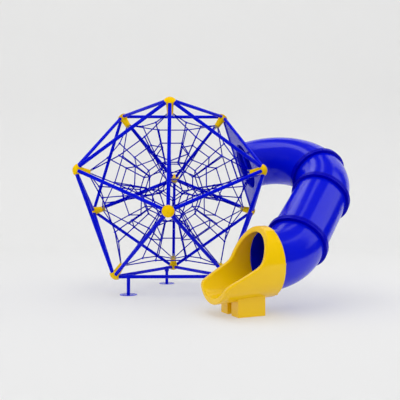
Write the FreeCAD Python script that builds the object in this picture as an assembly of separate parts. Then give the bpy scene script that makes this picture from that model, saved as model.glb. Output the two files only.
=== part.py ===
import FreeCAD, Part
import math
import os

# Icosahedral rope-net climber with a tube slide. Millimetres, +Z up.
# The frame is a regular icosahedron that stands on one face, with a hub at each of its corners.
# Everything is laid out round the middle of the icosahedron, and moved at the end so that the
# origin is on the ground, under the middle of the whole object.

os.makedirs("parts", exist_ok=True)
V = FreeCAD.Vector

# ---- Frame of tubes and hubs
EDGE = 1750.0               # between two neighbouring hub centres
TUBE_OD = 54.0
TUBE_WALL = 3.5
SOCKET_GAP = 9.0            # hub centre to the end of a tube, beyond where two tubes would touch
SOCKET_CLEARANCE = 0.4      # radial, tube in its hub socket
CAP_OD = 174.0
CAP_RISE = 45.0             # height of the cap's dome over its rim
CAP_WALL = 6.0
CAP_RIM_DROP = 9.0          # hub centre to the plane of the cap's rim, inwards
CAP_BOSS_OD = 40.0
CAP_BOSS_DEPTH = 22.0       # crown of the cap to the end of its boss
CAP_CLEARANCE = 0.5         # between cap and hub body, and between anchor plate and pot
CONE_HEIGHT = 70.0          # hub body's cone, below the cap
POT_TOP_OD = 114.0
POT_END_OD = 92.0
POT_END_DEPTH = 219.0       # hub centre to the end of the pot
POT_WALL = 11.0
POT_FLOOR_DEPTH = 120.0     # hub centre to the floor of the pot's hollow
HUB_BOLT_D = 16.0
HUB_BOLT_AF = 24.0          # across the flats of its head
HUB_BOLT_HEAD = 10.0
HUB_BOLT_CLEARANCE = 0.6    # radial, bolt in the hub body
HUB_BOLT_TIP_GAP = 2.0      # from its tip to the end of the cap's hole

# ---- Rope net
ROPE_D = 16.0
ANCHOR_PLATE_THICKNESS = 10.0
ANCHOR_SPIGOT_DEPTH = 12.0
ANCHOR_RADIUS = 33.0        # rope ends, from the hub's axis
FERRULE_WALL = 3.5
FERRULE_LENGTH = 46.0
CLAMP_COVER = 8.5           # barrel clamp's radius at a crossing, beyond the rope's
CLAMP_HEIGHT = 31.0
CLAMP_EDGE = 3.0            # bevel of a clamp's two rims
CLAMP_SEAT = 13.0           # middle of a clamp to the end of a rope in it
CLAMP_SEAM_STEPS = 24       # places round a clamp where its seam may lie
NET_DRAW_IN = 0.06          # share by which the rope joints are drawn to the middle
NET_RING_LEVEL = 0.712      # rings of the net, as a share of the outer joints' radius
NET_CORE_LEVEL = 0.44       # core cage of the net, as such a share

# ---- Legs
AXIS_HEIGHT = 277.0         # ground to the centre line of the base tubes
LEG_OD = 54.0
LEG_WALL = 4.0
LEG_INSET = 224.0           # base hub centre to the leg, along the base tube
FOOT_OD = 266.0
FOOT_THICKNESS = 8.0
FOOT_HOLE_D = 14.0
FOOT_HOLE_PCD = 200.0
FOOT_HOLES = 4
STRAP_WALL = 4.0
STRAP_WIDTH = 44.0
STRAP_DROP = 62.0           # tube centre line to the lower end of a strap

# ---- Entry panel and grab handles
PANEL_THICKNESS = 12.0
PANEL_GAP = 3.0             # panel edge to the tubes beside it
PANEL_CORNER_CUT = 130.0    # hub centre to the cut corner of the panel
LUG_WIDTH = 50.0
LUG_THICKNESS = 5.0
LUG_REACH = 40.0            # over the panel, from the panel's edge
LUG_PITCH = 460.0
HANDLE_OD = 28.0
HANDLE_LENGTH = 385.0
HANDLE_STANDOFF = 95.0
HANDLE_BEND = 42.0          # bend radius at a handle's corners
HANDLE_FOOT_OD = 58.0
HANDLE_FOOT_THICKNESS = 5.0
HANDLE_SIDES = (-458.0, 428.0)      # the two handles, across the panel from the hole's centre

# ---- Tube slide
SLIDE_BORE = 763.0
SLIDE_WALL = 8.0
SLIDE_BEND = 855.0          # bend radius of the centre line
ENTRY_TURN = 93.2           # degrees turned by each bend
UPPER_TURN = 42.7
LOWER_TURN = 44.0
ENTRY_ROLL = -57.6          # bend axis, turned about the tube from the panel's level line
UPPER_ROLL = 5.6
LOWER_ROLL = 16.4
STRAIGHT_LENGTH = 1037.0
COLLAR_STEP = 43.5          # height of a collar over the tube
COLLAR_HALF = 39.0          # width of each section's share of a collar
COLLAR_ROUND = 4.0
ENTRY_FLANGE_THICKNESS = 14.0
COLLAR_BOLTS = 8

# ---- Exit of the slide
EXIT_WALL = 77.0
EXIT_TUBE_OVERLAP = 26.0    # the last bend's end, inside the exit
EXIT_CLEARANCE = 0.5        # radial, the last bend in the exit
EXIT_LENGTH = 795.0         # beyond the last bend's end
HOOD_LENGTH = 88.0          # closed length along the crown
KNEE_ALONG = 285.0          # foot of the hood's opening, where the trough's rim starts
KNEE_UP = 12.0
LIP_ALONG = 757.0           # front corner of the trough's rim
LIP_UP = -219.0
KNEE_ROUND = 210.0
LIP_ROUND = 130.0
RIM_ROUND = 16.0            # rounding of the thick rim's two edges
RIM_LEAST = 2.0             # an edge of the rim is longer than this, along the exit and across it
EXIT_BACK_ROUND = 8.0
BLOCK_START = 134.0         # feet under the exit, along it
BLOCK_LENGTH = 378.0
BLOCK_INNER = 54.0          # middle plane to the inner face of a foot
BLOCK_WIDTH = 178.0
EXIT_SCREWS = 6

# ---- Bolts, M12
BOLT_D = 12.0
BOLT_HEAD_AF = 18.0
BOLT_HEAD = 7.5
BOLT_HOLE_CLEARANCE = 0.5

# ---- Worked out
TUBE_R = TUBE_OD / 2
GOLDEN = (1 + math.sqrt(5)) / 2
FACE_RADIUS = EDGE / math.sqrt(3)                       # face centre to its hubs
FACE_DISTANCE = EDGE * GOLDEN ** 2 / (2 * math.sqrt(3))  # middle to a face
BELT_RADIUS = EDGE * GOLDEN / math.sqrt(3)
BELT_HEIGHT = FACE_DISTANCE - FACE_RADIUS
GROUND = -FACE_DISTANCE - AXIS_HEIGHT
SOCKET_START = TUBE_OD * math.sqrt(3) / 2 + SOCKET_GAP
FERRULE_OD = ROPE_D + 2 * FERRULE_WALL
CLAMP_OD = ROPE_D + 2 * CLAMP_COVER
SLIDE_OD = SLIDE_BORE + 2 * SLIDE_WALL
COLLAR_OD = SLIDE_OD + 2 * COLLAR_STEP
EXIT_OD = SLIDE_BORE + 2 * EXIT_WALL
UP = V(0, 0, 1)


def unit(vector):
    return vector / vector.Length


def turned(vector, axis, degrees):
    return FreeCAD.Rotation(axis, degrees).multVec(vector)


def square_to(vector, axis):
    """The part of vector that is square to axis, as a unit vector."""
    return unit(vector - axis * vector.dot(axis))


def placed(shape, base, z_dir, x_dir=None):
    """The shape with its origin at base and +Z along z_dir."""
    z_axis = unit(z_dir)
    if x_dir is None:
        rotation = FreeCAD.Rotation(UP, z_axis)
    else:
        x_axis = square_to(x_dir, z_axis)
        rotation = FreeCAD.Rotation(x_axis, z_axis.cross(x_axis), z_axis, "ZXY")
    moved = shape.copy()
    moved.Placement = FreeCAD.Placement(base, rotation)
    return moved


def rod(start, end, diameter):
    return Part.makeCylinder(diameter / 2, (end - start).Length, start, unit(end - start))


def ring(base, direction, outer, inner, length):
    outside = Part.makeCylinder(outer / 2, length, base, direction)
    return outside.cut(Part.makeCylinder(inner / 2, length, base, direction))


def spun(edges):
    """Solid of revolution about Z from edges in the XZ plane, X being the radius."""
    face = Part.Face(Part.Wire(Part.__sortEdges__(edges)))
    return face.revolve(V(0, 0, 0), UP, 360)


def lines(points):
    """Straight edges through points given as (radius, height)."""
    corners = [V(x, 0, z) for x, z in points]
    return [Part.makeLine(a, b) for a, b in zip(corners, corners[1:])]


NODES = {}                  # node name to its solids


def save(name, solids):
    NODES[name] = solids


# ---- Layout of the icosahedron
def hub_layout():
    """Hub name to centre. Each ring has three hubs, a third of a turn apart."""
    odd = ((210, "left"), (330, "right"), (90, "back"))
    even = ((270, "front"), (150, "left"), (30, "right"))
    rings = (
        ("base", FACE_RADIUS, -FACE_DISTANCE, odd),
        ("low", BELT_RADIUS, -BELT_HEIGHT, even),
        ("high", BELT_RADIUS, BELT_HEIGHT, odd),
        ("top", FACE_RADIUS, FACE_DISTANCE, even),
    )
    hubs = {}
    for ring_name, radius, height, places in rings:
        for azimuth, side in places:
            angle = math.radians(azimuth)
            hubs[ring_name + "_" + side] = V(radius * math.cos(angle), radius * math.sin(angle), height)
    return hubs


HUBS = hub_layout()


def joined(a, b):
    return a != b and (HUBS[a] - HUBS[b]).Length < 1.1 * EDGE


EDGES = [(a, b) for i, a in enumerate(HUBS) for b in list(HUBS)[i + 1:] if joined(a, b)]
NEIGHBOURS = {a: [b for b in HUBS if joined(a, b)] for a in HUBS}
ENTRY_FACE = ("top_right", "high_right", "low_right")


def out_of(hub):
    """Unit vector from the middle of the dome out through a hub."""
    return unit(HUBS[hub])


# ---- Tubes
def frame_tubes():
    for a, b in EDGES:
        along = unit(HUBS[b] - HUBS[a])
        start = HUBS[a] + along * SOCKET_START
        length = EDGE - 2 * SOCKET_START
        save("tube_" + a + "_to_" + b, [ring(start, along, TUBE_OD, TUBE_OD - 2 * TUBE_WALL, length)])


# ---- Hubs: heights are measured outwards from the hub centre
def dome_edge(radius, rise, rim_height, inner_radius):
    """Arc from the rim of a dome up to inner_radius, and the height it reaches there."""
    ball = (radius ** 2 + rise ** 2) / (2 * rise)
    middle = rim_height + rise - ball

    def height_at(r):
        return middle + math.sqrt(ball ** 2 - r ** 2)

    between = (radius + inner_radius) / 2
    edge = Part.Arc(
        V(radius, 0, rim_height),
        V(between, 0, height_at(between)),
        V(inner_radius, 0, height_at(inner_radius)),
    ).toShape()
    return edge, height_at(inner_radius)


def hub_body_blank():
    rim = -CAP_RIM_DROP
    dome_radius = CAP_OD / 2 - CAP_WALL - CAP_CLEARANCE
    dome_rise = CAP_RISE - CAP_WALL - CAP_CLEARANCE
    recess = CAP_BOSS_OD / 2 + CAP_CLEARANCE
    seat = rim + CAP_RISE - CAP_BOSS_DEPTH
    bore = HUB_BOLT_D / 2 + HUB_BOLT_CLEARANCE
    hollow = POT_END_OD / 2 - POT_WALL
    dome, crown = dome_edge(dome_radius, dome_rise, rim, recess)
    outline = lines([
        (recess, crown), (recess, seat), (bore, seat), (bore, -POT_FLOOR_DEPTH),
        (hollow, -POT_FLOOR_DEPTH), (hollow, -POT_END_DEPTH), (POT_END_OD / 2, -POT_END_DEPTH),
        (POT_TOP_OD / 2, rim - CONE_HEIGHT), (dome_radius, rim),
    ])
    return spun(outline + [dome])


def hub_cap():
    rim = -CAP_RIM_DROP
    boss = CAP_BOSS_OD / 2
    seat = rim + CAP_RISE - CAP_BOSS_DEPTH
    hole = HUB_BOLT_D / 2
    hole_end = rim + CAP_RISE - CAP_WALL
    outer, crown = dome_edge(CAP_OD / 2, CAP_RISE, rim, 0.0)
    inner, under = dome_edge(CAP_OD / 2 - CAP_WALL, CAP_RISE - CAP_WALL, rim, boss)
    outline = lines([
        (0.0, crown), (0.0, hole_end), (hole, hole_end), (hole, seat), (boss, seat), (boss, under),
    ])
    outline += lines([(CAP_OD / 2 - CAP_WALL, rim), (CAP_OD / 2, rim)])
    return spun(outline + [outer, inner])


def hub_bolt():
    """Long bolt from the anchor plate at the pot's end up into the cap."""
    head_base = -POT_END_DEPTH - ANCHOR_PLATE_THICKNESS
    tip = -CAP_RIM_DROP + CAP_RISE - CAP_WALL - HUB_BOLT_TIP_GAP
    shank = Part.makeCylinder(HUB_BOLT_D / 2, tip - head_base, V(0, 0, head_base))
    return shank.fuse(hexagon(HUB_BOLT_AF, HUB_BOLT_HEAD, V(0, 0, head_base), V(0, 0, -1)))


def hexagon(across_flats, height, base, direction):
    corner = V(across_flats / math.sqrt(3), 0, 0)
    points = [turned(corner, UP, 60.0 * k) for k in range(7)]
    prism = Part.Face(Part.makePolygon(points)).extrude(V(0, 0, height))
    return placed(prism, base, direction)


def hubs():
    blank = hub_body_blank()
    caps = []
    bolts = []
    for hub, centre in HUBS.items():
        sockets = []
        for other in NEIGHBOURS[hub]:
            along = unit(HUBS[other] - centre)
            start = centre + along * SOCKET_START
            sockets.append(rod(start, start + along * POT_END_DEPTH, TUBE_OD + 2 * SOCKET_CLEARANCE))
        save("hub_" + hub, [placed(blank, centre, out_of(hub)).cut(sockets)])
        caps.append(placed(hub_cap(), centre, out_of(hub)))
        bolts.append(placed(hub_bolt(), centre, out_of(hub)))
    save("hub_caps", caps)
    save("hub_bolts", bolts)


# ---- Rope net
def pot_end(hub):
    return HUBS[hub] - out_of(hub) * POT_END_DEPTH


def rope_joint(a, b):
    """Outer joint of the net that is nearest to hub a, on the edge rope from a to b."""
    third = pot_end(a) + (pot_end(b) - pot_end(a)) / 3
    return third * (1 - NET_DRAW_IN)


def anchor_plate():
    spigot = POT_END_OD / 2 - POT_WALL - CAP_CLEARANCE
    top = -POT_END_DEPTH
    bore = HUB_BOLT_D / 2 + HUB_BOLT_CLEARANCE
    return spun(lines([
        (bore, top - ANCHOR_PLATE_THICKNESS), (POT_END_OD / 2, top - ANCHOR_PLATE_THICKNESS),
        (POT_END_OD / 2, top), (spigot, top), (spigot, top + ANCHOR_SPIGOT_DEPTH),
        (bore, top + ANCHOR_SPIGOT_DEPTH), (bore, top - ANCHOR_PLATE_THICKNESS),
    ]))


def anchor_point(hub, other):
    sideways = square_to(HUBS[other] - HUBS[hub], out_of(hub))
    return pot_end(hub) - out_of(hub) * ANCHOR_PLATE_THICKNESS + sideways * ANCHOR_RADIUS


def barrel_clamp(centre, directions):
    """Bevelled barrel whose axis points away from the middle, with a seat for each rope.

    Its seam is turned to where no rope meets it.
    """
    axis = unit(centre)
    start = square_to(UP if abs(axis.z) < 0.9 else V(1, 0, 0), axis)
    places = [turned(start, axis, 360.0 * k / CLAMP_SEAM_STEPS) for k in range(CLAMP_SEAM_STEPS)]
    seam = min(places, key=lambda place: max(place.dot(d) for d in directions))
    radius = CLAMP_OD / 2
    half = CLAMP_HEIGHT / 2
    barrel = spun(lines([
        (0.0, half), (radius - CLAMP_EDGE, half), (radius, half - CLAMP_EDGE),
        (radius, CLAMP_EDGE - half), (radius - CLAMP_EDGE, -half), (0.0, -half), (0.0, half),
    ]))
    seats = [rod(centre + d * CLAMP_SEAT, centre + d * CLAMP_HEIGHT, ROPE_D) for d in directions]
    return placed(barrel, centre, axis, seam).cut(seats)


class Net:
    """Collects rope runs by node, and the directions of the ropes at each barrel clamp."""

    def __init__(self):
        self.runs = {"net_outer_ropes": [], "net_inner_ropes": []}
        self.crossings = {}

    def run(self, node, start, end):
        """A rope between two barrel clamps; start and end are (key, point) pairs."""
        along = unit(end[1] - start[1])
        self.runs[node].append(rod(start[1] + along * CLAMP_SEAT, end[1] - along * CLAMP_SEAT, ROPE_D))
        self.meet(start, along)
        self.meet(end, along * -1)

    def meet(self, place, direction):
        self.crossings.setdefault(place[0], (place[1], []))[1].append(direction)


def rope_net():
    net = Net()
    fittings = []
    keep_off = POT_END_DEPTH - POT_FLOOR_DEPTH
    for hub in HUBS:
        fittings.append(placed(anchor_plate(), HUBS[hub], out_of(hub)))
        face = pot_end(hub) - out_of(hub) * ANCHOR_PLATE_THICKNESS
        behind = Part.makeCylinder(POT_TOP_OD, keep_off, face, out_of(hub))
        for other in NEIGHBOURS[hub]:
            joint = rope_joint(hub, other)
            start = anchor_point(hub, other)
            along = unit(joint - start)
            from_inside = start - along * ROPE_D
            rope = rod(from_inside, joint - along * CLAMP_SEAT, ROPE_D).cut(behind)
            ferrule = ring(from_inside, along, FERRULE_OD, ROPE_D, FERRULE_LENGTH + ROPE_D).cut(behind)
            net.runs["net_outer_ropes"].append(rope)
            net.meet((("joint", hub, other), joint), along * -1)
            fittings.append(ferrule)
    levels = (("joint", 1.0), ("ring", NET_RING_LEVEL), ("core", NET_CORE_LEVEL))

    def place(level, hub, other):
        name, share = levels[level]
        return ((name, hub, other), rope_joint(hub, other) * share)

    for a, b in EDGES:
        net.run("net_outer_ropes", place(0, a, b), place(0, b, a))
        net.run("net_inner_ropes", place(2, a, b), place(2, b, a))
    for hub in HUBS:
        for other in NEIGHBOURS[hub]:
            net.run("net_inner_ropes", place(0, hub, other), place(1, hub, other))
            net.run("net_inner_ropes", place(1, hub, other), place(2, hub, other))
        for b, c in EDGES:
            if b in NEIGHBOURS[hub] and c in NEIGHBOURS[hub]:
                net.run("net_inner_ropes", place(1, hub, b), place(1, hub, c))
                net.run("net_inner_ropes", place(2, hub, b), place(2, hub, c))
    for node, ropes in net.runs.items():
        save(node, ropes)
    save("net_clamps", [barrel_clamp(centre, directions) for centre, directions in net.crossings.values()])
    save("rope_end_fittings", fittings)


# ---- Bolts
def bolt(head_seat, direction, grip):
    """M12 bolt: the head's underside at head_seat, the shank along direction."""
    shank = Part.makeCylinder(BOLT_D / 2, grip, head_seat, direction)
    return shank.fuse(hexagon(BOLT_HEAD_AF, BOLT_HEAD, head_seat, direction * -1))


def bolt_hole(head_seat, direction, grip):
    start = head_seat - direction * grip
    return Part.makeCylinder(BOLT_D / 2 + BOLT_HOLE_CLEARANCE, 3 * grip, start, direction)


# ---- Legs under the base triangle
def leg_places():
    """A leg stands near each base hub, on the tube to the next base hub."""
    order = ("base_left", "base_right", "base_back")
    for hub, following in zip(order, order[1:] + order[:1]):
        along = unit(HUBS[following] - HUBS[hub])
        yield HUBS[hub] + along * LEG_INSET, along


def foot_plate(ground):
    plate = Part.makeCylinder(FOOT_OD / 2, FOOT_THICKNESS, ground)
    for k in range(FOOT_HOLES):
        angle = 2 * math.pi * (k + 0.5) / FOOT_HOLES
        place = ground + V(math.cos(angle), math.sin(angle), 0) * (FOOT_HOLE_PCD / 2)
        plate = plate.cut(Part.makeCylinder(FOOT_HOLE_D / 2, FOOT_THICKNESS, place))
    return plate


def strap_block(start, along, side, half_width):
    block = Part.makeBox(2 * half_width, STRAP_DROP, STRAP_WIDTH)
    return placed(block, start - side * half_width - UP * STRAP_DROP, along, side)


def leg_strap(centre, along, cross_bolt):
    """U-shaped strap over a base tube, with two arms down the sides of the post."""
    start = centre - along * (STRAP_WIDTH / 2)
    side = UP.cross(along)
    outer = TUBE_R + STRAP_WALL
    strap = Part.makeCylinder(outer, STRAP_WIDTH, start, along)
    strap = strap.fuse(strap_block(start, along, side, outer)).cut(strap_block(start, along, side, TUBE_R))
    return strap.cut(Part.makeCylinder(TUBE_R, STRAP_WIDTH, start, along)).cut(cross_bolt)


def legs(bolts):
    posts = []
    straps = []
    for centre, along in leg_places():
        ground = V(centre.x, centre.y, GROUND)
        height = AXIS_HEIGHT - FOOT_THICKNESS
        post = ring(ground + UP * FOOT_THICKNESS, UP, LEG_OD, LEG_OD - 2 * LEG_WALL, height)
        post = post.cut(rod(centre - along * LEG_OD, centre + along * LEG_OD, TUBE_OD))
        side = UP.cross(along)
        grip = 2 * (TUBE_R + STRAP_WALL)
        seat = centre - UP * (STRAP_DROP - BOLT_D) - side * (grip / 2)
        cross_bolt = bolt_hole(seat, side, grip)
        posts.append(post.fuse(foot_plate(ground)).cut(cross_bolt))
        straps.append(leg_strap(centre, along, cross_bolt))
        bolts.append(bolt(seat, side, grip))
    save("legs", posts)
    save("leg_straps", straps)


# ---- Entry panel: its outer face lies in the plane of the tube centre lines
def entry_plane():
    """Centre of the entry face, its outward normal, a level line in it, and its upright line."""
    centre = (HUBS[ENTRY_FACE[0]] + HUBS[ENTRY_FACE[1]] + HUBS[ENTRY_FACE[2]]) / 3
    normal = unit(centre)
    level = unit(UP.cross(normal))
    return centre, normal, level, normal.cross(level)


def panel_outline(centre, inset, corner_cut):
    """Corners of the face's triangle, moved in from the tubes and cut off at the hubs."""
    corners = [HUBS[name] for name in ENTRY_FACE]
    points = []
    for k, corner in enumerate(corners):
        inwards = unit(centre - corner)
        for other in (corners[k - 1], corners[(k + 1) % 3]):
            edge = unit(other - corner)
            across = square_to(centre - corner, edge)
            on_line = corner + across * inset
            travel = (corner_cut - (on_line - corner).dot(inwards)) / edge.dot(inwards)
            points.append(on_line + edge * travel)
    return points + points[:1]


def entry_panel(bolts):
    centre, normal, level, upright = entry_plane()
    outline = panel_outline(centre, TUBE_R + PANEL_GAP, PANEL_CORNER_CUT)
    panel = Part.Face(Part.makePolygon(outline)).extrude(normal * -PANEL_THICKNESS)
    through = normal * (2 * PANEL_THICKNESS)
    panel = panel.cut(rod(centre - through, centre + through, SLIDE_BORE))
    lugs = []
    corners = [HUBS[name] for name in ENTRY_FACE]
    for k, corner in enumerate(corners):
        following = corners[(k + 1) % 3]
        along = unit(following - corner)
        inwards = square_to(centre - corner, along)
        middle = (corner + following) / 2
        tube = rod(corner, following, TUBE_OD)
        reach = TUBE_R + PANEL_GAP + LUG_REACH
        for step in (-1, 1):
            place = middle + along * (step * LUG_PITCH)
            lug = Part.makeBox(reach, LUG_WIDTH, LUG_THICKNESS, V(0, -LUG_WIDTH / 2, 0))
            lug = placed(lug, place, normal, inwards).cut(tube)
            seat = place + inwards * (reach - LUG_REACH / 2) + normal * LUG_THICKNESS
            hole = bolt_hole(seat, normal * -1, LUG_THICKNESS + PANEL_THICKNESS)
            lugs.append(lug.cut(hole))
            panel = panel.cut(hole)
            bolts.append(bolt(seat, normal * -1, LUG_THICKNESS + PANEL_THICKNESS))
    for _, hole in entry_flange_bolts():
        panel = panel.cut(hole)
    for side in HANDLE_SIDES:
        for end in (-1, 1):
            foot = centre + level * side + upright * (end * HANDLE_LENGTH / 2) - normal * PANEL_THICKNESS
            seat = foot + normal * PANEL_THICKNESS
            panel = panel.cut(bolt_hole(seat, normal * -1, PANEL_THICKNESS))
            bolts.append(bolt(seat, normal * -1, PANEL_THICKNESS))
    save("entry_panel", [panel])
    save("panel_lugs", lugs)


def grab_handle(side):
    """U-shaped bar on the inner face of the panel."""
    centre, normal, level, upright = entry_plane()
    face = centre + level * side - normal * PANEL_THICKNESS
    inwards = normal * -1
    half = HANDLE_LENGTH / 2
    foot = Part.makeCylinder(HANDLE_FOOT_OD / 2, HANDLE_FOOT_THICKNESS, face + upright * half, inwards)
    handle = foot.fuse(foot.translated(upright * -HANDLE_LENGTH))
    for end in (-1, 1):
        start = face + upright * (end * half)
        corner = start + inwards * (HANDLE_STANDOFF - HANDLE_BEND)
        handle = handle.fuse(rod(start, corner, HANDLE_OD))
        section = Part.Face(Part.Wire(Part.makeCircle(HANDLE_OD / 2, corner, inwards)))
        pivot = corner - upright * (end * HANDLE_BEND)
        axis = inwards.cross(upright * -end)
        handle = handle.fuse(section.revolve(pivot, axis, 90))
    top = face + upright * (half - HANDLE_BEND) + inwards * HANDLE_STANDOFF
    bottom = top - upright * (HANDLE_LENGTH - 2 * HANDLE_BEND)
    return handle.fuse(rod(top, bottom, HANDLE_OD)).removeSplitter()


# ---- Tube slide: sections with half a collar at each joint
class Station:
    """A place on the slide's centre line, with the direction of travel."""

    def __init__(self, point, travel):
        self.point = point
        self.travel = unit(travel)

    def bend_axis(self, roll):
        level = entry_plane()[2]
        return turned(square_to(level, self.travel), self.travel, roll)

    def after_bend(self, roll, turn):
        axis = self.bend_axis(roll)
        pivot = self.point + axis.cross(self.travel) * SLIDE_BEND
        arm = turned(self.point - pivot, axis, turn)
        return Station(pivot + arm, turned(self.travel, axis, turn))

    def after_run(self, length):
        return Station(self.point + self.travel * length, self.travel)


def slide_stations():
    centre, normal = entry_plane()[:2]
    entry = Station(centre, normal)
    upper = entry.after_bend(ENTRY_ROLL, ENTRY_TURN)
    straight = upper.after_bend(UPPER_ROLL, UPPER_TURN)
    lower = straight.after_run(STRAIGHT_LENGTH)
    out = lower.after_bend(LOWER_ROLL, LOWER_TURN)
    return entry, upper, straight, lower, out


def bend_bar(station, roll, turn, diameter):
    """Solid bent bar round the centre line of a bend."""
    axis = station.bend_axis(roll)
    pivot = station.point + axis.cross(station.travel) * SLIDE_BEND
    section = Part.Face(Part.Wire(Part.makeCircle(diameter / 2, station.point, station.travel)))
    return section.revolve(pivot, axis, turn)


def half_collar(station, backwards):
    """Disc on one side of a joint, its free edge rounded; the section's bore is cut through it."""
    radius = COLLAR_OD / 2
    slope = COLLAR_ROUND * (1 - math.sqrt(0.5))
    outline = lines([
        (radius - COLLAR_ROUND, COLLAR_HALF), (0.0, COLLAR_HALF), (0.0, 0.0),
        (radius, 0.0), (radius, COLLAR_HALF - COLLAR_ROUND),
    ])
    outline.append(Part.Arc(
        V(radius, 0, COLLAR_HALF - COLLAR_ROUND),
        V(radius - slope, 0, COLLAR_HALF - slope),
        V(radius - COLLAR_ROUND, 0, COLLAR_HALF),
    ).toShape())
    return placed(spun(outline), station.point, station.travel * (-1 if backwards else 1))


def circle_points(station, radius, count):
    level = square_to(entry_plane()[2], station.travel)
    for k in range(count):
        yield station.point + turned(level, station.travel, 360.0 * (k + 0.5) / count) * radius


def collar_bolt_seats(station):
    radius = (SLIDE_OD + COLLAR_OD) / 4
    for place in circle_points(station, radius, COLLAR_BOLTS):
        yield place - station.travel * COLLAR_HALF


def entry_flange_bolts():
    """Bolt seats on the entry flange, which is against the panel's outer face, and their holes."""
    entry = slide_stations()[0]
    grip = ENTRY_FLANGE_THICKNESS + PANEL_THICKNESS
    for place in circle_points(entry, (SLIDE_OD + COLLAR_OD) / 4, COLLAR_BOLTS):
        seat = place + entry.travel * ENTRY_FLANGE_THICKNESS
        yield seat, bolt_hole(seat, entry.travel * -1, grip)


def drilled(shape, station):
    for seat in collar_bolt_seats(station):
        shape = shape.cut(bolt_hole(seat, station.travel, COLLAR_HALF))
    return shape


def slide(bolts):
    entry, upper, straight, lower, out = slide_stations()
    flange = Part.makeCylinder(COLLAR_OD / 2, ENTRY_FLANGE_THICKNESS, entry.point, entry.travel)
    first = bend_bar(entry, ENTRY_ROLL, ENTRY_TURN, SLIDE_OD).fuse([flange, half_collar(upper, True)])
    first = first.cut(bend_bar(entry, ENTRY_ROLL, ENTRY_TURN, SLIDE_BORE))
    for seat, hole in entry_flange_bolts():
        first = first.cut(hole)
        bolts.append(bolt(seat, entry.travel * -1, ENTRY_FLANGE_THICKNESS + PANEL_THICKNESS))
    second = bend_bar(upper, UPPER_ROLL, UPPER_TURN, SLIDE_OD)
    second = second.fuse([half_collar(upper, False), half_collar(straight, True)])
    second = second.cut(bend_bar(upper, UPPER_ROLL, UPPER_TURN, SLIDE_BORE))
    third = rod(straight.point, lower.point, SLIDE_OD)
    third = third.fuse([half_collar(straight, False), half_collar(lower, True)])
    third = third.cut(rod(straight.point, lower.point, SLIDE_BORE))
    fourth = bend_bar(lower, LOWER_ROLL, LOWER_TURN, SLIDE_OD).fuse(half_collar(lower, False))
    fourth = fourth.cut(bend_bar(lower, LOWER_ROLL, LOWER_TURN, SLIDE_BORE))
    save("slide_entry_bend", [drilled(first, upper)])
    save("slide_upper_bend", [drilled(drilled(second, upper), straight)])
    save("slide_straight", [drilled(drilled(third, straight), lower)])
    save("slide_lower_bend", [drilled(fourth, lower)])
    for station in (upper, straight, lower):
        for seat in collar_bolt_seats(station):
            bolts.append(bolt(seat, station.travel, 2 * COLLAR_HALF))


# ---- Exit: local +Z is the direction of travel, +Y is up and +X is across
def rounded_path(points, radii):
    """Edges through (along, up) points, with an arc of the given radius at each inner point."""
    corners = [V(0, up, along) for along, up in points]
    edges = []
    last = corners[0]
    for before, corner, after, radius in zip(corners, corners[1:], corners[2:], radii):
        back = unit(before - corner)
        ahead = unit(after - corner)
        half = back.getAngle(ahead) / 2
        reach = radius / math.tan(half)
        start = corner + back * reach
        end = corner + ahead * reach
        middle = corner + unit(back + ahead) * (radius / math.sin(half) - radius)
        edges.append(Part.makeLine(last, start))
        edges.append(Part.Arc(start, middle, end).toShape())
        last = end
    edges.append(Part.makeLine(last, corners[-1]))
    return edges


def exit_opening():
    """Everything above the exit's rim, to be cut away."""
    clear = EXIT_OD
    steep = (KNEE_ALONG - HOOD_LENGTH) / (EXIT_OD / 2 - KNEE_UP)
    over_crown = (HOOD_LENGTH - steep * (clear - EXIT_OD / 2), clear)
    lip_slope = (EXIT_LENGTH - LIP_ALONG) / (EXIT_OD / 2 + LIP_UP)
    under_lip = (EXIT_LENGTH + lip_slope * (clear - EXIT_OD / 2), -clear)
    path = rounded_path(
        [over_crown, (KNEE_ALONG, KNEE_UP), (LIP_ALONG, LIP_UP), under_lip],
        [KNEE_ROUND, LIP_ROUND],
    )
    far = EXIT_LENGTH + clear
    path += [
        Part.makeLine(V(0, -clear, under_lip[0]), V(0, -clear, far)),
        Part.makeLine(V(0, -clear, far), V(0, clear, far)),
        Part.makeLine(V(0, clear, far), V(0, clear, over_crown[0])),
    ]
    face = Part.Face(Part.Wire(Part.__sortEdges__(path)))
    return face.extrude(V(2 * clear, 0, 0)).translated(V(-clear, 0, 0))


def exit_section():
    past_lip = EXIT_LENGTH + EXIT_TUBE_OVERLAP + EXIT_WALL
    outside = Part.makeCylinder(EXIT_OD / 2, past_lip, V(0, 0, -EXIT_TUBE_OVERLAP))
    back_edge = [edge for edge in outside.Edges if edge.BoundBox.ZMax < 0]
    outside = outside.makeFillet(EXIT_BACK_ROUND, back_edge)
    bore = Part.makeCylinder(SLIDE_BORE / 2, past_lip)
    shell = outside.cut(exit_opening()).cut(bore)
    return shell.makeFillet(RIM_ROUND, [edge for edge in shell.Edges if on_rim(edge)])


def on_rim(edge):
    """Whether an edge of the exit runs along its opening: not round the tube, nor straight along it."""
    box = edge.BoundBox
    across = box.XLength + box.YLength
    return box.ZMax > 0 and box.ZLength > RIM_LEAST and across > RIM_LEAST


def exit_frame():
    """Station at the start of the exit, with its upward and sideways directions."""
    out = slide_stations()[4]
    upward = square_to(UP, out.travel)
    return out, upward, upward.cross(out.travel)


def exit_screw_seats():
    out, upward, _ = exit_frame()
    middle = out.point - out.travel * (EXIT_TUBE_OVERLAP / 2)
    for k in range(EXIT_SCREWS):
        radial = turned(upward, out.travel, 360.0 * (k + 0.5) / EXIT_SCREWS)
        yield middle + radial * (EXIT_OD / 2), radial * -1


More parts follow.
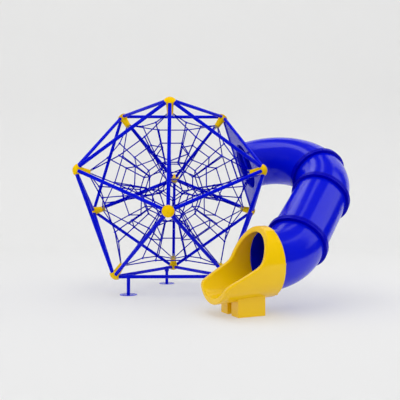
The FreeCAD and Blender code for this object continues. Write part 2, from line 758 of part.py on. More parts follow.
def slide_exit(bolts):
    out, _, across = exit_frame()
    lower = slide_stations()[3]
    last_bend = bend_bar(lower, LOWER_ROLL, LOWER_TURN, SLIDE_OD + 2 * EXIT_CLEARANCE)
    shell = placed(exit_section(), out.point, out.travel, across).cut(last_bend)
    grip = EXIT_OD / 2 - SLIDE_BORE / 2 - SLIDE_WALL / 2
    for seat, direction in exit_screw_seats():
        hole = Part.makeCylinder(BOLT_D / 2, grip, seat, direction)
        shell = shell.cut(hole)
        bolts.append(bolt(seat, direction, grip))
    save("slide_exit", [shell])


def exit_feet():
    """Two blocks on the ground, hollowed on top to carry the round underside of the exit."""
    out = exit_frame()[0]
    travel = unit(V(out.travel.x, out.travel.y, 0))
    across = UP.cross(travel)
    ground = V(out.point.x, out.point.y, GROUND)
    axis_start = out.point - out.travel * EXIT_LENGTH
    saddle = Part.makeCylinder(EXIT_OD / 2, 3 * EXIT_LENGTH, axis_start, out.travel)
    feet = []
    for side in (-1, 1):
        inner = BLOCK_INNER if side > 0 else -BLOCK_INNER - BLOCK_WIDTH
        corner = ground + travel * BLOCK_START + across * inner
        block = Part.makeBox(BLOCK_LENGTH, BLOCK_WIDTH, out.point.z - GROUND)
        feet.append(placed(block, corner, UP, travel).cut(saddle))
    save("exit_feet", feet)


def build():
    bolts = []
    frame_tubes()
    hubs()
    rope_net()
    legs(bolts)
    entry_panel(bolts)
    save("grab_handles", [grab_handle(side) for side in HANDLE_SIDES])
    slide(bolts)
    slide_exit(bolts)
    exit_feet()
    save("m12_bolts", bolts)


def write():
    """Moves everything so that the origin is under the middle, on the ground, and writes it."""
    box = FreeCAD.BoundBox()
    for name, solids in NODES.items():
        if name.startswith(("hub_", "slide_", "exit_")):
            for solid in solids:
                box.add(solid.optimalBoundingBox(True, False))
    offset = V(-box.Center.x, -box.Center.y, -GROUND)
    for name, shapes in NODES.items():
        if not all(shape.isValid() for shape in shapes):
            print("not valid:", name)
        node = Part.makeCompound([solid for shape in shapes for solid in shape.Solids])
        node.translate(offset)
        node.exportStep("parts/" + name + ".step")
    print(len(NODES), "nodes; size", box.XLength, box.YLength, box.ZMax - GROUND, "offset", offset)


build()
write()
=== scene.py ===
import math

import bmesh
import bpy
from mathutils import Matrix, Vector


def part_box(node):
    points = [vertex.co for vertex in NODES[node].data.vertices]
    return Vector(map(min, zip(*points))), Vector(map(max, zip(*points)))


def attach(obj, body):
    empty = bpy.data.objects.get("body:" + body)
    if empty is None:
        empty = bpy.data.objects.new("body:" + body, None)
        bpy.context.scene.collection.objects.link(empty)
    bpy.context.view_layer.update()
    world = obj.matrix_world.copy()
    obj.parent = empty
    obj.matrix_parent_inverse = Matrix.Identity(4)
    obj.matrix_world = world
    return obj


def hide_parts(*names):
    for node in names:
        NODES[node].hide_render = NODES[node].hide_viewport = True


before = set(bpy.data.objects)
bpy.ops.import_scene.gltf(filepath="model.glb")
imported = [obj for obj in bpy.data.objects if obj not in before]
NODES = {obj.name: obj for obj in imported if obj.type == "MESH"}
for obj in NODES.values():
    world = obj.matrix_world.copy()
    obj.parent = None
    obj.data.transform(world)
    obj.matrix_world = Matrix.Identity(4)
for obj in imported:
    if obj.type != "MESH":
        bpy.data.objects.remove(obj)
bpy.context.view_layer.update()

SCENE = bpy.context.scene

# ---- Places, worked out from the frame
UP = Vector((0, 0, 1))
HUB_NAMES = [
    "base_left", "base_right", "base_back", "low_front", "low_left", "low_right",
    "high_left", "high_right", "high_back", "top_front", "top_left", "top_right",
]


def box_middle(node):
    low, high = (Vector(corner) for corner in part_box(node))
    return (low + high) / 2


DOME = sum((box_middle("hub_" + name) for name in HUB_NAMES), Vector()) / len(HUB_NAMES)
BASE_TUBE_LOW, BASE_TUBE_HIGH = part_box("tube_base_left_to_base_right")
BASE_HEIGHT = (BASE_TUBE_LOW[2] + BASE_TUBE_HIGH[2]) / 2

# ---- Layout of the icosahedron, as in the CAD part
GOLDEN = (1 + math.sqrt(5)) / 2
FACE_DISTANCE = DOME.z - BASE_HEIGHT
EDGE = FACE_DISTANCE * 2 * math.sqrt(3) / GOLDEN ** 2
FACE_RADIUS = EDGE / math.sqrt(3)
BELT_RADIUS = EDGE * GOLDEN / math.sqrt(3)
BELT_HEIGHT = FACE_DISTANCE - FACE_RADIUS


def hub_layout():
    """Hub centres by name: four level triangles, turned half a step from one to the next."""
    odd = ((210, "left"), (330, "right"), (90, "back"))
    even = ((270, "front"), (150, "left"), (30, "right"))
    rings = (
        ("base", FACE_RADIUS, -FACE_DISTANCE, odd),
        ("low", BELT_RADIUS, -BELT_HEIGHT, even),
        ("high", BELT_RADIUS, BELT_HEIGHT, odd),
        ("top", FACE_RADIUS, FACE_DISTANCE, even),
    )
    hubs = {}
    for ring, radius, height, places in rings:
        for azimuth, side in places:
            angle = math.radians(azimuth)
            place = Vector((radius * math.cos(angle), radius * math.sin(angle), height))
            hubs[ring + "_" + side] = DOME + place
    return hubs


HUBS = hub_layout()


def joined(a, b):
    return a != b and (HUBS[a] - HUBS[b]).length < 1.1 * EDGE


EDGES = [(a, b) for i, a in enumerate(HUBS) for b in list(HUBS)[i + 1:] if joined(a, b)]
NEIGHBOURS = {a: [b for b in HUBS if joined(a, b)] for a in HUBS}


def out_of(hub):
    return (HUBS[hub] - DOME).normalized()


# ---- Camera, level with the lower half of the dome
LENS = 50
SENSOR_WIDTH = 36
SIGHT = 200
CAMERA_YAW = 0.0205
CAMERA_PITCH = 0.0187
CAMERA_PLACE = Vector((0.1575, -5.2072, -0.1711))  # from the dome's middle, in lengths of its edge


def camera():
    data = bpy.data.cameras.new("camera")
    data.lens = LENS
    data.sensor_width = SENSOR_WIDTH
    data.clip_end = SIGHT
    level = math.cos(CAMERA_PITCH)
    forward = Vector((math.sin(CAMERA_YAW) * level, math.cos(CAMERA_YAW) * level, math.sin(CAMERA_PITCH)))
    holder = bpy.data.objects.new("camera", data)
    holder.location = DOME + CAMERA_PLACE * EDGE
    holder.rotation_euler = forward.to_track_quat("-Z", "Y").to_euler()
    SCENE.collection.objects.link(holder)
    SCENE.camera = holder


# ---- Node trees
class Shader:
    """A principled material, with short calls for the nodes that feed it."""

    def __init__(self, name, colour, roughness, metallic=0.0):
        self.material = bpy.data.materials.new(name)
        self.material.use_nodes = True
        self.tree = self.material.node_tree
        self.principled = self.tree.nodes["Principled BSDF"]
        self.set("Base Color", (*colour, 1.0))
        self.set("Roughness", roughness)
        self.set("Metallic", metallic)
        self.coordinates = self.tree.nodes.new("ShaderNodeTexCoord").outputs["Object"]

    def set(self, socket, value):
        self.principled.inputs[socket].default_value = value

    def feed(self, socket, output):
        self.tree.links.new(output, self.principled.inputs[socket])

    def node(self, kind, inputs=(), **settings):
        """A new node; each input is another node's output or a plain value."""
        made = self.tree.nodes.new("ShaderNode" + kind)
        for key, value in settings.items():
            setattr(made, key, value)
        for socket, value in dict(inputs).items():
            if isinstance(value, bpy.types.NodeSocket):
                self.tree.links.new(value, made.inputs[socket])
            else:
                made.inputs[socket].default_value = value
        return made

    def noise(self, scale, detail=4.0, roughness=0.5):
        """Noise with so many cells a metre."""
        inputs = {"Vector": self.coordinates, "Scale": scale, "Detail": detail, "Roughness": roughness}
        return self.node("TexNoise", inputs).outputs["Fac"]

    def ramp(self, value, low, high, from_low, from_high):
        """Maps low..high to from_low..from_high, clamped."""
        inputs = {"Value": value, "From Min": low, "From Max": high, "To Min": from_low, "To Max": from_high}
        return self.node("MapRange", inputs).outputs["Result"]

    def mix(self, factor, first, second):
        """A colour between two plain colours."""
        inputs = {0: factor, 6: (*first, 1.0), 7: (*second, 1.0)}
        return self.node("Mix", inputs, data_type="RGBA").outputs[2]

    def add(self, first, second):
        return self.node("Math", {0: first, 1: second}, operation="ADD").outputs[0]

    def bump(self, height, strength, distance, below=None):
        """Bump as deep as the distance, in metres, on top of another bump if one is given."""
        inputs = {"Height": height, "Strength": strength, "Distance": distance}
        if below is not None:
            inputs["Normal"] = below
        made = self.node("Bump", inputs).outputs["Normal"]
        self.feed("Normal", made)
        return made


# ---- Finishes: each colour has a deeper one that it drifts to in patches
BLUE = (0.0, 0.006, 0.72)
BLUE_DEEP = (0.0, 0.003, 0.64)
COLLAR_BLUE = (0.0, 0.0, 0.50)
COLLAR_DEEP = (0.0, 0.0, 0.44)
ROPE_BLUE = (0.0, 0.001, 0.60)
ROPE_DEEP = (0.0, 0.0, 0.36)
ROPE_PLAIN = (0.006, 0.012, 0.36)  # where a viewer doesn't read the rope's nodes
YELLOW = (0.96, 0.615, 0.0)
YELLOW_DEEP = (0.94, 0.575, 0.0)
ZINC = (0.55, 0.56, 0.58)
PLASTIC_IOR = 1.46
COAT_IOR = 1.16
SATIN_IOR = 1.3
ROUGHNESS = 0.16
CAST_ROUGHNESS = 0.25
COLLAR_ROUGHNESS = 0.24
CLAMP_ROUGHNESS = 0.35
EXIT_ROUGHNESS = 0.12
EXIT_REACH = 0.75  # from the exit's middle to its furthest screw, and a little more


def coated_paint(name, colour, deep, roughness=ROUGHNESS):
    """Powder coat on steel: fine orange peel, slight shade changes, duller rubbed patches."""
    shader = Shader(name, colour, roughness)
    shader.set("IOR", COAT_IOR)
    patches = shader.ramp(shader.noise(3.0), 0.35, 0.7, 0.0, 1.0)
    shader.feed("Base Color", shader.mix(patches, colour, deep))
    rubbed = shader.ramp(shader.noise(9.0, 6.0), 0.3, 0.75, roughness - 0.04, roughness + 0.08)
    shader.feed("Roughness", rubbed)
    shader.bump(shader.noise(420.0, 2.0), strength=0.05, distance=0.001)
    return shader.material


def moulded_plastic(name, colour, deep, roughness=ROUGHNESS, ior=PLASTIC_IOR):
    """Rotationally moulded plastic: gentle waves, a fine grain and light scuffs."""
    shader = Shader(name, colour, roughness)
    shader.set("IOR", ior)
    shade = shader.ramp(shader.noise(1.6), 0.3, 0.7, 0.0, 1.0)
    scuffs = shader.ramp(shader.noise(38.0, 8.0, 0.7), 0.6, 0.85, 0.0, 0.07)
    shader.feed("Base Color", shader.mix(shade, colour, deep))
    plain = shader.ramp(shade, 0.0, 1.0, roughness, roughness + 0.04)
    shader.feed("Roughness", shader.add(plain, scuffs))
    waves = shader.bump(shader.noise(1.6, 1.0), strength=0.07, distance=0.004)
    shader.bump(shader.noise(600.0, 2.0), strength=0.015, distance=0.0006, below=waves)
    return shader.material


def plain_steel():
    """Zinc plate with uneven dullness."""
    shader = Shader("zinc_steel", ZINC, 0.35, metallic=1.0)
    shader.feed("Roughness", shader.ramp(shader.noise(60.0, 5.0), 0.3, 0.7, 0.25, 0.5))
    shader.bump(shader.noise(240.0), strength=0.15, distance=0.0005)
    return shader.material


def bolt_coat(exit_middle):
    """Blue coated bolts; those in the yellow exit are yellow."""
    shader = Shader("bolt_coat", BLUE_DEEP, 0.3)
    ends = {0: shader.coordinates, 1: exit_middle}
    away = shader.node("VectorMath", ends, operation="DISTANCE").outputs["Value"]
    near = shader.ramp(away, EXIT_REACH, EXIT_REACH + 0.01, 1.0, 0.0)
    shader.feed("Base Color", shader.mix(near, BLUE_DEEP, YELLOW))
    shader.feed("Roughness", shader.ramp(shader.noise(80.0), 0.3, 0.7, 0.22, 0.38))
    return shader.material


def rope_blue():
    """Dull fibre, mottled and rough."""
    shader = Shader("rope_blue", ROPE_PLAIN, 0.6)
    shader.set("Specular IOR Level", 0.0)
    shader.feed("Base Color", shader.mix(shader.noise(150.0), ROPE_DEEP, ROPE_BLUE))
    shader.bump(shader.noise(900.0, 3.0), strength=0.4, distance=0.001)
    return shader.material


def panel_sheet():
    """Satin sheet, a little uneven in gloss."""
    shader = Shader("panel_sheet", BLUE_DEEP, 0.3)
    shader.set("IOR", SATIN_IOR)
    shader.feed("Roughness", shader.ramp(shader.noise(20.0, 6.0), 0.3, 0.7, 0.14, 0.26))
    shader.bump(shader.noise(900.0, 2.0), strength=0.03, distance=0.0005)
    return shader.material


def paint(material, *nodes):
    """Gives the CAD meshes of these nodes a material."""
    for name in nodes:
        piece = NODES[name]
        piece.data.materials.clear()
        piece.data.materials.append(material)


# ---- Mesh helpers
def smooth_mesh(name, made, material):
    """A smooth-shaded mesh from a bmesh, which is used up."""
    bmesh.ops.recalc_face_normals(made, faces=made.faces)
    for face in made.faces:
        face.smooth = True
    mesh = bpy.data.meshes.new(name)
    made.to_mesh(mesh)
    made.free()
    mesh.materials.append(material)
    return mesh


def piece_from(name, made, material, *stands_for):
    """A piece of the object; it rides on the frame and stands for the CAD nodes named."""
    mesh = smooth_mesh(name, made, material)
    piece = bpy.data.objects.new(name, mesh)
    SCENE.collection.objects.link(piece)
    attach(piece, "root")
    if stands_for:
        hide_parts(*stands_for)
    return piece


def square_to(vector, axis):
    """The direction of the vector's part that is square to the axis."""
    return (vector - axis * vector.dot(axis)).normalized()


def side_of(axis):
    """Some direction square to the axis."""
    return square_to(UP if abs(axis.z) < 0.9 else Vector((1, 0, 0)), axis)


def ring_of(made, centre, across, other, radii, turn=0.0):
    """A ring of evenly spaced vertices round a centre, one for each of the radii."""
    ring = []
    for k, radius in enumerate(radii):
        angle = 2 * math.pi * k / len(radii) + turn
        ring.append(made.verts.new(centre + (across * math.cos(angle) + other * math.sin(angle)) * radius))
    return ring


def skin(made, rings, closed_ends=True):
    """Faces between rings of vertices that go round the same way."""
    count = len(rings[0])
    for low, high in zip(rings, rings[1:]):
        for k in range(count):
            after = (k + 1) % count
            made.faces.new((low[k], low[after], high[after], high[k]))
    if closed_ends:
        made.faces.new(rings[0])
        made.faces.new(list(reversed(rings[-1])))


# ---- Rope net: twisted strands, in barrel clamps at the crossings
POT_END_DEPTH = 0.219  # from a hub's centre to the end of its pot
PLATE = 0.010  # thickness of the anchor plate on the pot's end
ANCHOR_RADIUS = 0.033  # of the ring of ropes on an anchor plate
ROPE_R = 0.008
STRANDS = 6
STRAND_CROWN = 0.002  # how far the strands stand out of the rope's core
ROPE_PITCH = 0.12
ROPE_STEP = 0.011
CLAMP_SEAT = 0.013  # from a crossing to where the ropes leave its clamp
NET_DRAW_IN = 0.06  # share by which the outer crossings are drawn in to the dome's middle
NET_RING_LEVEL = 0.712  # middle crossings, as a share of the way out to the outer ones
NET_CORE_LEVEL = 0.44


def rope(made, start, end):
    """Straight rope of strands that wind round it."""
    axis = (end - start).normalized()
    across = side_of(axis)
    other = axis.cross(across)
    length = (end - start).length
    steps = max(2, round(length / ROPE_STEP))
    radii = [ROPE_R, ROPE_R + STRAND_CROWN] * STRANDS
    rings = []
    for step in range(steps + 1):
        along = length * step / steps
        turn = 2 * math.pi * along / ROPE_PITCH
        rings.append(ring_of(made, start + axis * along, across, other, radii, turn))
    skin(made, rings)


def pot_end(hub):
    """Middle of the end of a hub's pot."""
    return HUBS[hub] - out_of(hub) * POT_END_DEPTH


def rope_joint(a, b, level=1.0):
    """Crossing a third of the way from hub a to hub b, or further in at a lower level."""
    third = pot_end(a) + (pot_end(b) - pot_end(a)) / 3 - DOME
    return DOME + third * (1 - NET_DRAW_IN) * level


def anchor_point(hub, other):
    """Where the rope to another hub's side leaves the anchor plate."""
    sideways = square_to(HUBS[other] - HUBS[hub], out_of(hub))
    return pot_end(hub) - out_of(hub) * PLATE + sideways * ANCHOR_RADIUS


def between(made, start, end):
    """Rope between two crossings, with its ends in their clamps."""
    along = (end - start).normalized()
    rope(made, start + along * CLAMP_SEAT, end - along * CLAMP_SEAT)


def rope_net():
    """Outer ropes from hub to hub, and inner ones: radial ropes, and rings at two levels."""
    outer = bmesh.new()
    inner = bmesh.new()
    for hub in HUBS:
        for other in NEIGHBOURS[hub]:
            joint = rope_joint(hub, other)
            start = anchor_point(hub, other)
            rope(outer, start, joint - (joint - start).normalized() * CLAMP_SEAT)
            ring = rope_joint(hub, other, NET_RING_LEVEL)
            between(inner, joint, ring)
            between(inner, ring, rope_joint(hub, other, NET_CORE_LEVEL))
        for b, c in EDGES:
            if b in NEIGHBOURS[hub] and c in NEIGHBOURS[hub]:
                for level in (NET_RING_LEVEL, NET_CORE_LEVEL):
                    between(inner, rope_joint(hub, b, level), rope_joint(hub, c, level))
    for a, b in EDGES:
        between(outer, rope_joint(a, b), rope_joint(b, a))
        between(inner, rope_joint(a, b, NET_CORE_LEVEL), rope_joint(b, a, NET_CORE_LEVEL))
    material = rope_blue()
    piece_from("net_edge_ropes", outer, material, "net_outer_ropes")
    piece_from("net_inside_ropes", inner, material, "net_inner_ropes")


# ---- Turned pieces: outlines are (radius, height) pairs, with the height along the axis
CORNER_STEPS = 4
ON_AXIS = 1e-6


def rounded(points, radius):
    """The outline with every corner but its two ends rounded by a short curve."""
    path = [points[0]]
    for before, corner, after in zip(points, points[1:], points[2:]):
        corner_at = Vector(corner)
        back = (Vector(before) - corner_at).normalized()
        ahead = (Vector(after) - corner_at).normalized()
        start = corner_at + back * radius
        end = corner_at + ahead * radius
        for step in range(CORNER_STEPS + 1):
            t = step / CORNER_STEPS
            path.append(tuple(start * (1 - t) ** 2 + corner_at * (2 * t * (1 - t)) + end * t ** 2))
    path.append(points[-1])
    return path


def turn_piece(made, outline, base, axis, around):
    """Spins an outline round an axis; ends at radius 0 are closed to a point."""
    across = side_of(axis)
    other = axis.cross(across)
    rings = []
    for radius, height in outline:
        centre = base + axis * height
        if radius < ON_AXIS:
            rings.append([made.verts.new(centre)])
        else:
            rings.append(ring_of(made, centre, across, other, [radius] * around))
    for low, high in zip(rings, rings[1:]):
        for k in range(around):
            after = (k + 1) % around
            if len(low) == 1:
                made.faces.new((low[0], high[after], high[k]))
            elif len(high) == 1:
                made.faces.new((low[k], low[after], high[0]))
            else:
                made.faces.new((low[k], low[after], high[after], high[k]))


# ---- Hub caps: a dome with a rolled rim, a shallow step and a plug over the bolt
CAP_RADIUS = 0.087
CAP_RIM = -0.009
CAP_RISE = 0.045
CAP_WALL = 0.006
CAP_STEP = 0.0014  # how far the dome lies below its rim
CAP_BAND = 0.012  # width of the rim
CAP_LIP = ((0.0012, 0.0003), (0.004, 0.0), (0.008, 0.0))  # the rim's top: how far out, how far down
CAP_EDGE = 0.0015
CAP_EDGE_DROP = 0.0004
CAP_CHAMFER = 0.0008
CAP_INNER_EDGE = 0.001
CAP_INNER_RADII = (0.06, 0.03, 0.0)
CAP_RINGS = 12
CAP_AROUND = 48
PLUG_RADIUS = 0.019
PLUG_EDGE = 0.0015
PLUG_DEPTH = 2.2 * CAP_STEP  # depth of the groove round the plug


def cap_outline():
    """From the top of the dome, over its rim, to the middle of its underside."""
    ball = (CAP_RADIUS ** 2 + CAP_RISE ** 2) / (2 * CAP_RISE)
    middle = CAP_RIM + CAP_RISE - ball
    seat = CAP_RADIUS - CAP_BAND
    field = PLUG_RADIUS + PLUG_EDGE
    inside = CAP_RADIUS - CAP_WALL

    def dome(radius, lower):
        return (radius, middle + math.sqrt((ball - lower) ** 2 - radius ** 2))

    path = [dome(0.0, CAP_STEP), dome(PLUG_RADIUS - 2 * PLUG_EDGE, CAP_STEP)]
    path += [dome(PLUG_RADIUS - PLUG_EDGE, PLUG_DEPTH), dome(PLUG_RADIUS, PLUG_DEPTH)]
    for step in range(CAP_RINGS + 1):
        path.append(dome(field + (seat - field) * step / CAP_RINGS, CAP_STEP))
    path += [dome(seat + out, lower) for out, lower in CAP_LIP]
    path += [dome(CAP_RADIUS - CAP_EDGE, CAP_EDGE_DROP), (CAP_RADIUS, CAP_RIM + CAP_EDGE)]
    path += [(CAP_RADIUS - CAP_CHAMFER, CAP_RIM), (inside + CAP_INNER_EDGE, CAP_RIM)]
    path += [(inside, CAP_RIM + CAP_INNER_EDGE)]
    return path + [dome(radius, CAP_WALL) for radius in CAP_INNER_RADII]


def hub_caps(material):
    made = bmesh.new()
    outline = cap_outline()
    for hub, centre in HUBS.items():
        turn_piece(made, outline, centre, out_of(hub), CAP_AROUND)
    piece_from("cap_domes", made, material, "hub_caps")


# ---- Rope ends: a plate over each pot, and ridged ferrules that hold the ropes
FERRULE_R = 0.0115
FERRULE_WAIST = 0.88  # radius between two ridges, as a share of the ridges' own
FERRULE_LENGTH = 0.046
FERRULE_AROUND = 16
RIDGES = 4
RIDGES_START = 0.15  # shares of the ferrule's length
RIDGES_LENGTH = 0.7
TAPER_START = 0.9
MOUTH_R = 0.9 * ROPE_R  # sunk in the rope, so that no gap shows
LIP_R = 1.15 * ROPE_R
POT_END_R = 0.046
PLATE_EDGE = 0.002
PLATE_AROUND = 40


def ferrule_outline():
    sleeve = [(MOUTH_R, 0.0), (FERRULE_R, 0.0)]
    span = RIDGES_LENGTH * FERRULE_LENGTH / RIDGES
    for k in range(RIDGES):
        low = FERRULE_LENGTH * (RIDGES_START + RIDGES_LENGTH * k / RIDGES)
        sleeve += [(FERRULE_R, low), (FERRULE_R * FERRULE_WAIST, low + span * 0.3)]
        sleeve += [(FERRULE_R * FERRULE_WAIST, low + span * 0.6), (FERRULE_R, low + span * 0.9)]
    sleeve += [(FERRULE_R, FERRULE_LENGTH * TAPER_START)]
    return sleeve + [(LIP_R, FERRULE_LENGTH), (MOUTH_R, FERRULE_LENGTH)]


def rope_ends(plate_material, ferrule_material):
    plates = bmesh.new()
    ferrules = bmesh.new()
    plate = rounded([(0.0, -PLATE), (POT_END_R, -PLATE), (POT_END_R, 0.0), (0.0, 0.0)], PLATE_EDGE)
    sleeve = ferrule_outline()
    for hub in HUBS:
        turn_piece(plates, plate, pot_end(hub), out_of(hub), PLATE_AROUND)
        for other in NEIGHBOURS[hub]:
            start = anchor_point(hub, other)
            along = (rope_joint(hub, other) - start).normalized()
            turn_piece(ferrules, sleeve, start, along, FERRULE_AROUND)
    piece_from("pot_plates", plates, plate_material, "rope_end_fittings")
    piece_from("rope_ferrules", ferrules, ferrule_material)


# ---- Tube slide: its centre line is worked out as in the CAD part, in metres
SLIDE_R = 0.3895
SLIDE_BORE_R = 0.3815
SLIDE_BEND = 0.855
SECTIONS = {  # roll and turn of each bend, in degrees
    "slide_entry_bend": (-57.6, 93.2),
    "slide_upper_bend": (5.6, 42.7),
    "slide_straight": None,
    "slide_lower_bend": (16.4, 44.0),
}
STRAIGHT = 1.037
COLLAR_R = 0.4328  # 0.2 mm less than in the CAD part, whose mesh cuts its curves short
COLLAR_HALF = 0.039
FLANGE = 0.014
EDGE_SOFT = 0.004
SEAM = 0.0015  # half the gap that shows between two collars
SLIDE_AROUND = 96
DEGREES_A_RING = 1.6


class Station:
    """A place on the slide's centre line, with the direction of travel."""

    def __init__(self, point, travel):
        self.point = point
        self.travel = travel.normalized()

    def bend(self, roll, turn):
        """Where a bend of this roll and turn leads to, in degrees."""
        level = UP.cross(ENTRY_NORMAL)
        axis = Matrix.Rotation(math.radians(roll), 3, self.travel) @ square_to(level, self.travel)
        spin = Matrix.Rotation(math.radians(turn), 3, axis)
        pivot = self.point + axis.cross(self.travel) * SLIDE_BEND
        return Station(pivot + spin @ (self.point - pivot), spin @ self.travel)


ENTRY_CENTRE = (HUBS["top_right"] + HUBS["high_right"] + HUBS["low_right"]) / 3
ENTRY_NORMAL = (ENTRY_CENTRE - DOME).normalized()


def slide_line():
    """Stations of each section, close together, by node name."""
    station = Station(ENTRY_CENTRE, ENTRY_NORMAL)
    sections = {}
    for node, bend in SECTIONS.items():
        if bend:
            roll, turn = bend
            count = round(turn / DEGREES_A_RING)
            sections[node] = [station.bend(roll, turn * k / count) for k in range(count + 1)]
        else:
            count = round(STRAIGHT / (SLIDE_BEND * math.radians(DEGREES_A_RING)))
            steps = [station.travel * (STRAIGHT * k / count) for k in range(count + 1)]
            sections[node] = [Station(station.point + step, station.travel) for step in steps]
        station = sections[node][-1]
    return sections


def tube_wall(made, stations):
    """Tube along the stations, with its ring vertices kept in line from one to the next."""
    across = square_to(UP, stations[0].travel)
    outside = []
    inside = []
    for station in stations:
        across = square_to(across, station.travel)
        other = station.travel.cross(across)
        outside.append(ring_of(made, station.point, across, other, [SLIDE_R] * SLIDE_AROUND))
        inside.append(ring_of(made, station.point, across, other, [SLIDE_BORE_R] * SLIDE_AROUND))
    skin(made, outside, closed_ends=False)
    skin(made, inside, closed_ends=False)
    for end in (0, -1):
        skin(made, [outside[end], inside[end]], closed_ends=False)


def collar(made, station, backwards, width=COLLAR_HALF, gap=SEAM):
    """Half a collar: a flat band with soft edges, its foot sunk in the tube's wall."""
    foot = (SLIDE_R + SLIDE_BORE_R) / 2
    outline = rounded([(foot, width), (COLLAR_R, width), (COLLAR_R, gap), (foot, gap)], EDGE_SOFT)
    turn_piece(made, outline, station.point, station.travel * (-1 if backwards else 1), SLIDE_AROUND)


def tube_slide(shell_material, collar_material):
    """Four shells, with a thin flange at the entry and half a collar each side of each joint."""
    sections = slide_line()
    collars = bmesh.new()
    for node, stations in sections.items():
        made = bmesh.new()
        tube_wall(made, stations)
        piece_from(node + "_shell", made, shell_material, node)
        if node == "slide_entry_bend":
            collar(collars, stations[0], False, FLANGE, 0.0)
        else:
            collar(collars, stations[0], False)
        if node != "slide_lower_bend":
            collar(collars, stations[-1], True)
    piece_from("slide_collars", collars, collar_material)


# ---- Exit: its CAD shape in an even mesh with softened edges, as moulding leaves it
EXIT_MESH_STEP = 0.008
EXIT_SMOOTHING = 3


def exit_skin(material):
    node = "slide_exit"
    piece = bpy.data.objects.new("exit_shell", NODES[node].data.copy())
    SCENE.collection.objects.link(piece)
    even = piece.modifiers.new("even", "REMESH")
    even.mode = "VOXEL"
    even.voxel_size = EXIT_MESH_STEP
    soft = piece.modifiers.new("soft", "SMOOTH")
    soft.iterations = EXIT_SMOOTHING
    evaluated = piece.evaluated_get(bpy.context.evaluated_depsgraph_get())
    mesh = bpy.data.meshes.new_from_object(evaluated)
    piece.modifiers.clear()
    piece.data = mesh
    mesh.materials.clear()
    mesh.materials.append(material)
    low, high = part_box(node)
    for point in mesh.vertices:
        point.co = [min(max(at, least), most) for at, least, most in zip(point.co, low, high)]
    for face in mesh.polygons:
        face.use_smooth = True
        face.material_index = 0
    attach(piece, "root")
    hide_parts(node)


# ---- Stage: a round pale room, so that every view has the same backdrop
ROOM_RADIUS = 17.0
ROOM_SWEEP = 6.0  # radius of the curve from the floor up to the wall
SWEEP_START = ROOM_RADIUS - ROOM_SWEEP
SWEEP_STEPS = 24
FLOOR_RINGS = (0.001, 4.0, 8.0)
FRONT_HEIGHT = 11.0
BACK_HEIGHT = 24.0
ROOM_COLUMNS = 64
WALL_SHADE = 0.86
WALL_BLUE = 0.995  # the wall is a little warm
FLOOR_SHADE = 0.46
FLOOR_GLOW = 0.35
SKY = 1.16


def room_mesh(name, first, last, profile, material):
    """Part of the round room between two azimuths, in degrees."""
    made = bmesh.new()
    columns = []
    for k in range(ROOM_COLUMNS + 1):
        angle = math.radians(first + (last - first) * k / ROOM_COLUMNS)
        columns.append([made.verts.new((r * math.cos(angle), r * math.sin(angle), z)) for r, z in profile])
    for left, right in zip(columns, columns[1:]):
        for k in range(len(profile) - 1):
            made.faces.new((left[k], right[k], right[k + 1], left[k + 1]))
    piece = bpy.data.objects.new(name, smooth_mesh(name, made, material))
    SCENE.collection.objects.link(piece)
    return piece


def room():
    """Gloss mirrors the floor and the wall behind, but not the other walls or the sky."""
    floor = [(radius, 0.0) for radius in (*FLOOR_RINGS, SWEEP_START)]
    sweep = [(SWEEP_START, 0.0)]
    for step in range(1, SWEEP_STEPS + 1):
        angle = math.radians(90 * step / SWEEP_STEPS)
        sweep.append((SWEEP_START + ROOM_SWEEP * math.sin(angle), ROOM_SWEEP - ROOM_SWEEP * math.cos(angle)))
    tall = sweep + [(ROOM_RADIUS, BACK_HEIGHT)]
    short = sweep + [(ROOM_RADIUS, FRONT_HEIGHT)]
    paper = room_paper()
    for name, first, last, profile, mirrored in (
        ("room_floor", 0, 360, floor, True),
        ("room_back", 30, 150, tall, True),
        ("room_right", -20, 30, tall, False),
        ("room_left", 150, 200, tall, False),
        ("room_front", 200, 340, short, False),
    ):
        room_mesh(name, first, last, profile, paper).visible_glossy = mirrored


def room_paper():
    """Plain paper. The floor is darker than the wall but glows a little, for pale shadows."""
    shader = Shader("room_paper", (WALL_SHADE, WALL_SHADE, WALL_SHADE), 0.9)
    shader.set("Specular IOR Level", 0.0)
    split = shader.node("SeparateXYZ", {"Vector": shader.coordinates})
    level = shader.node("CombineXYZ", {"X": split.outputs["X"], "Y": split.outputs["Y"]}).outputs[0]
    radius = shader.node("VectorMath", {0: level}, operation="LENGTH").outputs["Value"]
    wall = shader.ramp(radius, 0.5 * SWEEP_START, ROOM_RADIUS, 0.0, 1.0)
    floor_colour = (FLOOR_SHADE, FLOOR_SHADE, FLOOR_SHADE)
    wall_colour = (WALL_SHADE, WALL_SHADE, WALL_SHADE * WALL_BLUE)
    shader.feed("Base Color", shader.mix(wall, floor_colour, wall_colour))
    shader.set("Emission Color", (1.0, 1.0, 1.0, 1.0))
    shader.feed("Emission Strength", shader.ramp(wall, 0.0, 1.0, FLOOR_GLOW, 0.0))
    return shader.material


# ---- Lights: name, place, target, width, height, watts, and whether gloss mirrors them
SOFT_BOXES = (
    ("top_box", (-1.2, 1.5, 10.0), (-1.2, 1.5, 0.0), 2.0, 9.0, 90.0, True),
    ("top_strip", (2.2, 0.5, 10.0), (2.2, 0.5, 0.0), 0.9, 6.0, 16.0, True),
    ("right_box", (8.4, -0.6, 6.2), (1.2, -0.6, 1.0), 4.5, 7.5, 95.0, True),
    ("left_box", (-9.0, -5.0, 5.0), (0.0, 0.0, 1.5), 3.0, 6.0, 40.0, False),
)


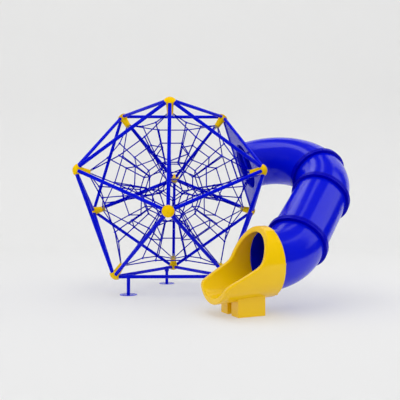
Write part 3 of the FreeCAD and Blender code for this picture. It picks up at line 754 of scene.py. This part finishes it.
def soft_box(name, place, target, width, height, watts, mirrored):
    data = bpy.data.lights.new(name, "AREA")
    data.shape = "RECTANGLE"
    data.size = width
    data.size_y = height
    data.energy = watts
    holder = bpy.data.objects.new(name, data)
    holder.location = place
    holder.rotation_euler = (Vector(target) - Vector(place)).to_track_quat("-Z", "Y").to_euler()
    holder.visible_glossy = mirrored
    SCENE.collection.objects.link(holder)


def lights():
    world = bpy.data.worlds.new("studio")
    world.use_nodes = True
    background = world.node_tree.nodes["Background"]
    background.inputs["Color"].default_value = (1.0, 1.0, 1.0, 1.0)
    background.inputs["Strength"].default_value = SKY
    world.cycles_visibility.glossy = False
    SCENE.world = world
    for row in SOFT_BOXES:
        soft_box(*row)
    SCENE.view_settings.view_transform = "Standard"
    SCENE.view_settings.look = "None"


# ---- Which piece gets which finish, and the pieces that replace CAD meshes
def finishes():
    steel = plain_steel()
    paint_blue = coated_paint("powder_blue", BLUE, BLUE_DEEP)
    paint(paint_blue, *[name for name in NODES if name.startswith("tube_")])
    paint(paint_blue, "legs", "leg_straps", "panel_lugs", "grab_handles")
    paint(panel_sheet(), "entry_panel")
    paint(moulded_plastic("clamp_blue", BLUE_DEEP, BLUE, CLAMP_ROUGHNESS), "net_clamps")
    cast_yellow = coated_paint("cast_yellow", YELLOW, YELLOW_DEEP, CAST_ROUGHNESS)
    paint(cast_yellow, *["hub_" + name for name in HUB_NAMES])
    paint(steel, "hub_bolts")
    paint(bolt_coat(box_middle("slide_exit")), "m12_bolts")
    hub_caps(coated_paint("cap_yellow", YELLOW, YELLOW_DEEP))
    rope_ends(coated_paint("plate_yellow", YELLOW, YELLOW_DEEP, CAST_ROUGHNESS), steel)
    slide_blue = moulded_plastic("slide_blue", BLUE, BLUE_DEEP)
    collar_blue = moulded_plastic("collar_blue", COLLAR_BLUE, COLLAR_DEEP, COLLAR_ROUGHNESS, COAT_IOR)
    tube_slide(slide_blue, collar_blue)
    exit_yellow = moulded_plastic("exit_yellow", YELLOW, YELLOW_DEEP, EXIT_ROUGHNESS)
    exit_skin(exit_yellow)
    paint(exit_yellow, "exit_feet")


camera()
room()
lights()
finishes()
rope_net()
